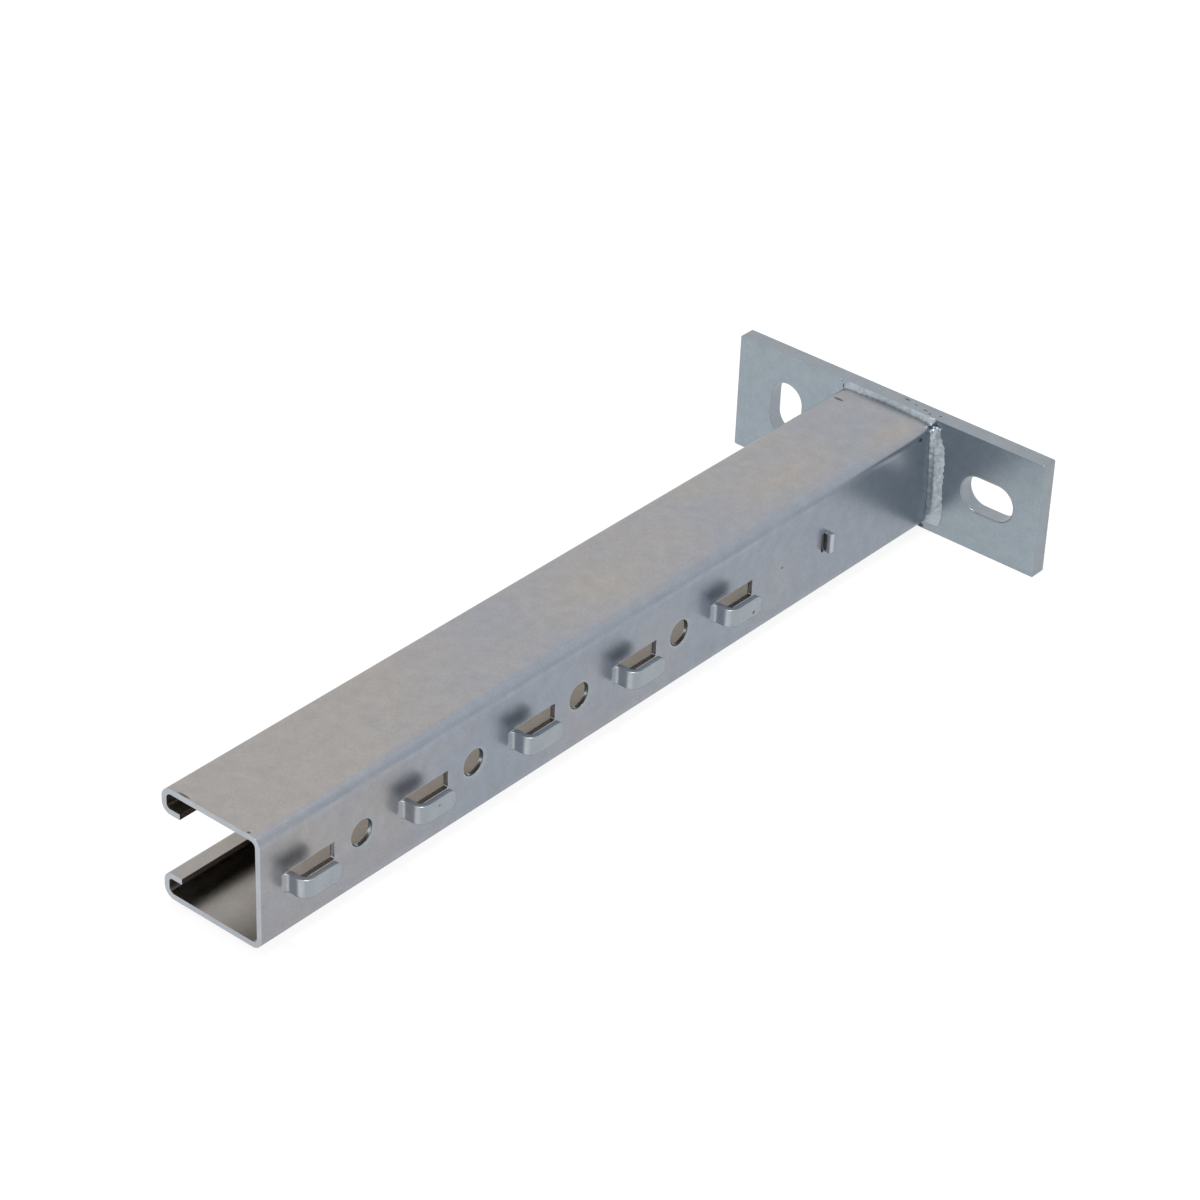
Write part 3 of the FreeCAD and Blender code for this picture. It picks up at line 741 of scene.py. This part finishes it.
def drop(middle, radius):
    """A drop of spatter: a sphere of rings from pole to pole, with no buried steps.

    A point lies at middle + radius (sin p cos q, -sin p sin q, cos p), where p is the ring's
    angle from the pole and q the angle round it, taken backwards so that faces look outward.
    """
    polar, round_about = np.meshgrid(
        np.radians(np.linspace(DROP_POLE, 180 - DROP_POLE, DROP_RINGS)),
        np.radians(np.arange(0, 360, DROP_TURN)), indexing="ij")
    normals = np.stack([
        np.sin(polar) * np.cos(round_about), -np.sin(polar) * np.sin(round_about), np.cos(polar)], -1)
    return (np.array(middle) + radius * normals) * MM, 0


class STRUTARM_OT_finish_steel(bpy.types.Operator):
    """Give the channel and the wall plate their zinc plating"""

    bl_idname = "strutarm.finish_steel"
    bl_label = "Finish the steel"

    def execute(self, context):
        settings = context.scene.strutarm_steel
        dress("channel_arm", plated_steel(
            "zinc-plated channel steel", settings, ARM_MARKS, channel_paint(settings)))
        dress("base_plate", plated_steel(
            "zinc-plated bar steel", settings, PLATE_MARKS_AND_SHADE, bar_paint(settings)))
        return {"FINISHED"}


class STRUTARM_OT_lay_welds(bpy.types.Operator):
    """Lay the two weld beads that join the channel to the plate, with their drops of spatter"""

    bl_idname = "strutarm.lay_welds"
    bl_label = "Lay the welds"

    def execute(self, context):
        settings = context.scene.strutarm_weld
        material = weld_metal(settings)
        web_bead = bead(
            seam(*WEB_SEAM), WEB_PROFILE, settings.web_unrest, settings.web_seed, settings)
        top_bead = bead(
            seam(*TOP_SEAM), TOP_PROFILE, settings.top_unrest, settings.top_seed, settings)
        web_drops = [drop(*row) for row in WEB_DROPS]
        top_drops = [drop(*row) for row in TOP_DROPS]
        weld_piece("web_weld_bead", [web_bead, *web_drops], material, "weld_bead_web")
        weld_piece("top_weld_bead", [top_bead, *top_drops], material, "weld_bead_top")
        return {"FINISHED"}


class STRUTARM_OT_set_stage(bpy.types.Operator):
    """Set up the pale floor, the soft light and the camera"""

    bl_idname = "strutarm.set_stage"
    bl_label = "Set up the studio"

    def execute(self, context):
        scene = context.scene
        settings = scene.strutarm_stage
        self.lay_floor(settings)
        self.light(scene, settings)
        self.aim_camera(scene, settings)
        scene.view_settings.view_transform = "Standard"
        return {"FINISHED"}

    def lay_floor(self, settings):
        """A wide pale floor, lit from below like a light table, that keeps a faint shadow."""
        material, tree = new_material("lit pale floor")
        camera = add(tree, "LightPath")
        seen = camera
        for way in ("Is Glossy Ray", "Is Transmission Ray"):
            seen = add(tree, "Math", seen, camera.node.outputs[way], operation="MAXIMUM")
        matt = add(tree, "BsdfDiffuse", colour(settings.floor))
        strength = add(
            tree, "MapRange", camera, 0, 1, settings.floor_mirrored, settings.floor_seen)
        glow = add(tree, "Emission", WHITE, strength)
        glowing = add(tree, "Math", seen, settings.floor_glow, operation="MULTIPLY")
        add(tree, "OutputMaterial", add(tree, "MixShader", glowing, matt, glow))
        level = float(CAD_BOX[0][2])
        sides = ((-1, -1), (1, -1), (1, 1), (-1, 1))
        corners = [(x * FLOOR_HALF, y * FLOOR_HALF, level) for x, y in sides]
        mesh = bpy.data.meshes.new("floor")
        mesh.from_pydata(corners, [], [(0, 1, 2, 3)])
        mesh.materials.append(material)
        floor = bpy.data.objects.new("floor", mesh)
        bpy.context.scene.collection.objects.link(floor)

    def light(self, scene, settings):
        """An even white tent, and a lamp overhead that gives the rounded edges a glint."""
        world = bpy.data.worlds.new("white tent")
        world.use_nodes = True
        world.node_tree.nodes.clear()
        tree = world.node_tree
        camera = add(tree, "LightPath")
        strength = add(tree, "MapRange", camera, 0, 1, settings.surroundings, 1.0)
        add(tree, "OutputWorld", add(tree, "Background", WHITE, strength))
        scene.world = world
        lamp = bpy.data.lights.new("overhead lamp", "AREA")
        lamp.shape = "DISK"
        lamp.size = LAMP_WIDTH
        lamp.energy = settings.lamp
        hung = bpy.data.objects.new("overhead lamp", lamp)
        hung.location = LAMP_PLACE
        scene.collection.objects.link(hung)

    def aim_camera(self, scene, settings):
        """A camera at the photograph's angle: its three axes and its place."""
        lens = bpy.data.cameras.new("camera")
        lens.sensor_width = PICTURE_WIDTH
        lens.lens = settings.lens
        lens.clip_start = CAMERA_NEAR
        lens.clip_end = CAMERA_FAR
        eye = bpy.data.objects.new("camera", lens)
        turn = Matrix((CAMERA_RIGHT, CAMERA_UP, CAMERA_BACK)).transposed().to_4x4()
        eye.matrix_world = Matrix.Translation(CAMERA_PLACE) @ turn
        scene.collection.objects.link(eye)
        scene.camera = eye


class STRUTARM_PT_panel(bpy.types.Panel):
    """Steps and settings of the strut arm"""

    bl_label = "Strut Arm"
    bl_idname = "STRUTARM_PT_panel"
    bl_space_type = "VIEW_3D"
    bl_region_type = "UI"
    bl_category = "Strut Arm"

    def draw(self, context):
        for operator in OPERATORS:
            self.layout.operator(operator.bl_idname)
        for name, group in SETTINGS.items():
            box = self.layout.box()
            for field in group.__annotations__:
                box.prop(getattr(context.scene, name), field)


SETTINGS = {
    "strutarm_steel": SteelSettings,
    "strutarm_weld": WeldSettings,
    "strutarm_stage": StageSettings,
}
OPERATORS = (STRUTARM_OT_finish_steel, STRUTARM_OT_lay_welds, STRUTARM_OT_set_stage)


def register():
    """Add the settings, the steps and the panel."""
    for item in (*SETTINGS.values(), *OPERATORS, STRUTARM_PT_panel):
        bpy.utils.register_class(item)
    for name, group in SETTINGS.items():
        setattr(bpy.types.Scene, name, PointerProperty(type=group))


def unregister():
    """Take them away again, the last first."""
    for name in SETTINGS:
        delattr(bpy.types.Scene, name)
    for item in (STRUTARM_PT_panel, *reversed(OPERATORS), *reversed(list(SETTINGS.values()))):
        bpy.utils.unregister_class(item)


def main():
    """Register the add-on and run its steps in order."""
    register()
    bpy.ops.strutarm.finish_steel()
    bpy.ops.strutarm.lay_welds()
    bpy.ops.strutarm.set_stage()


if __name__ == "__main__":
    main()
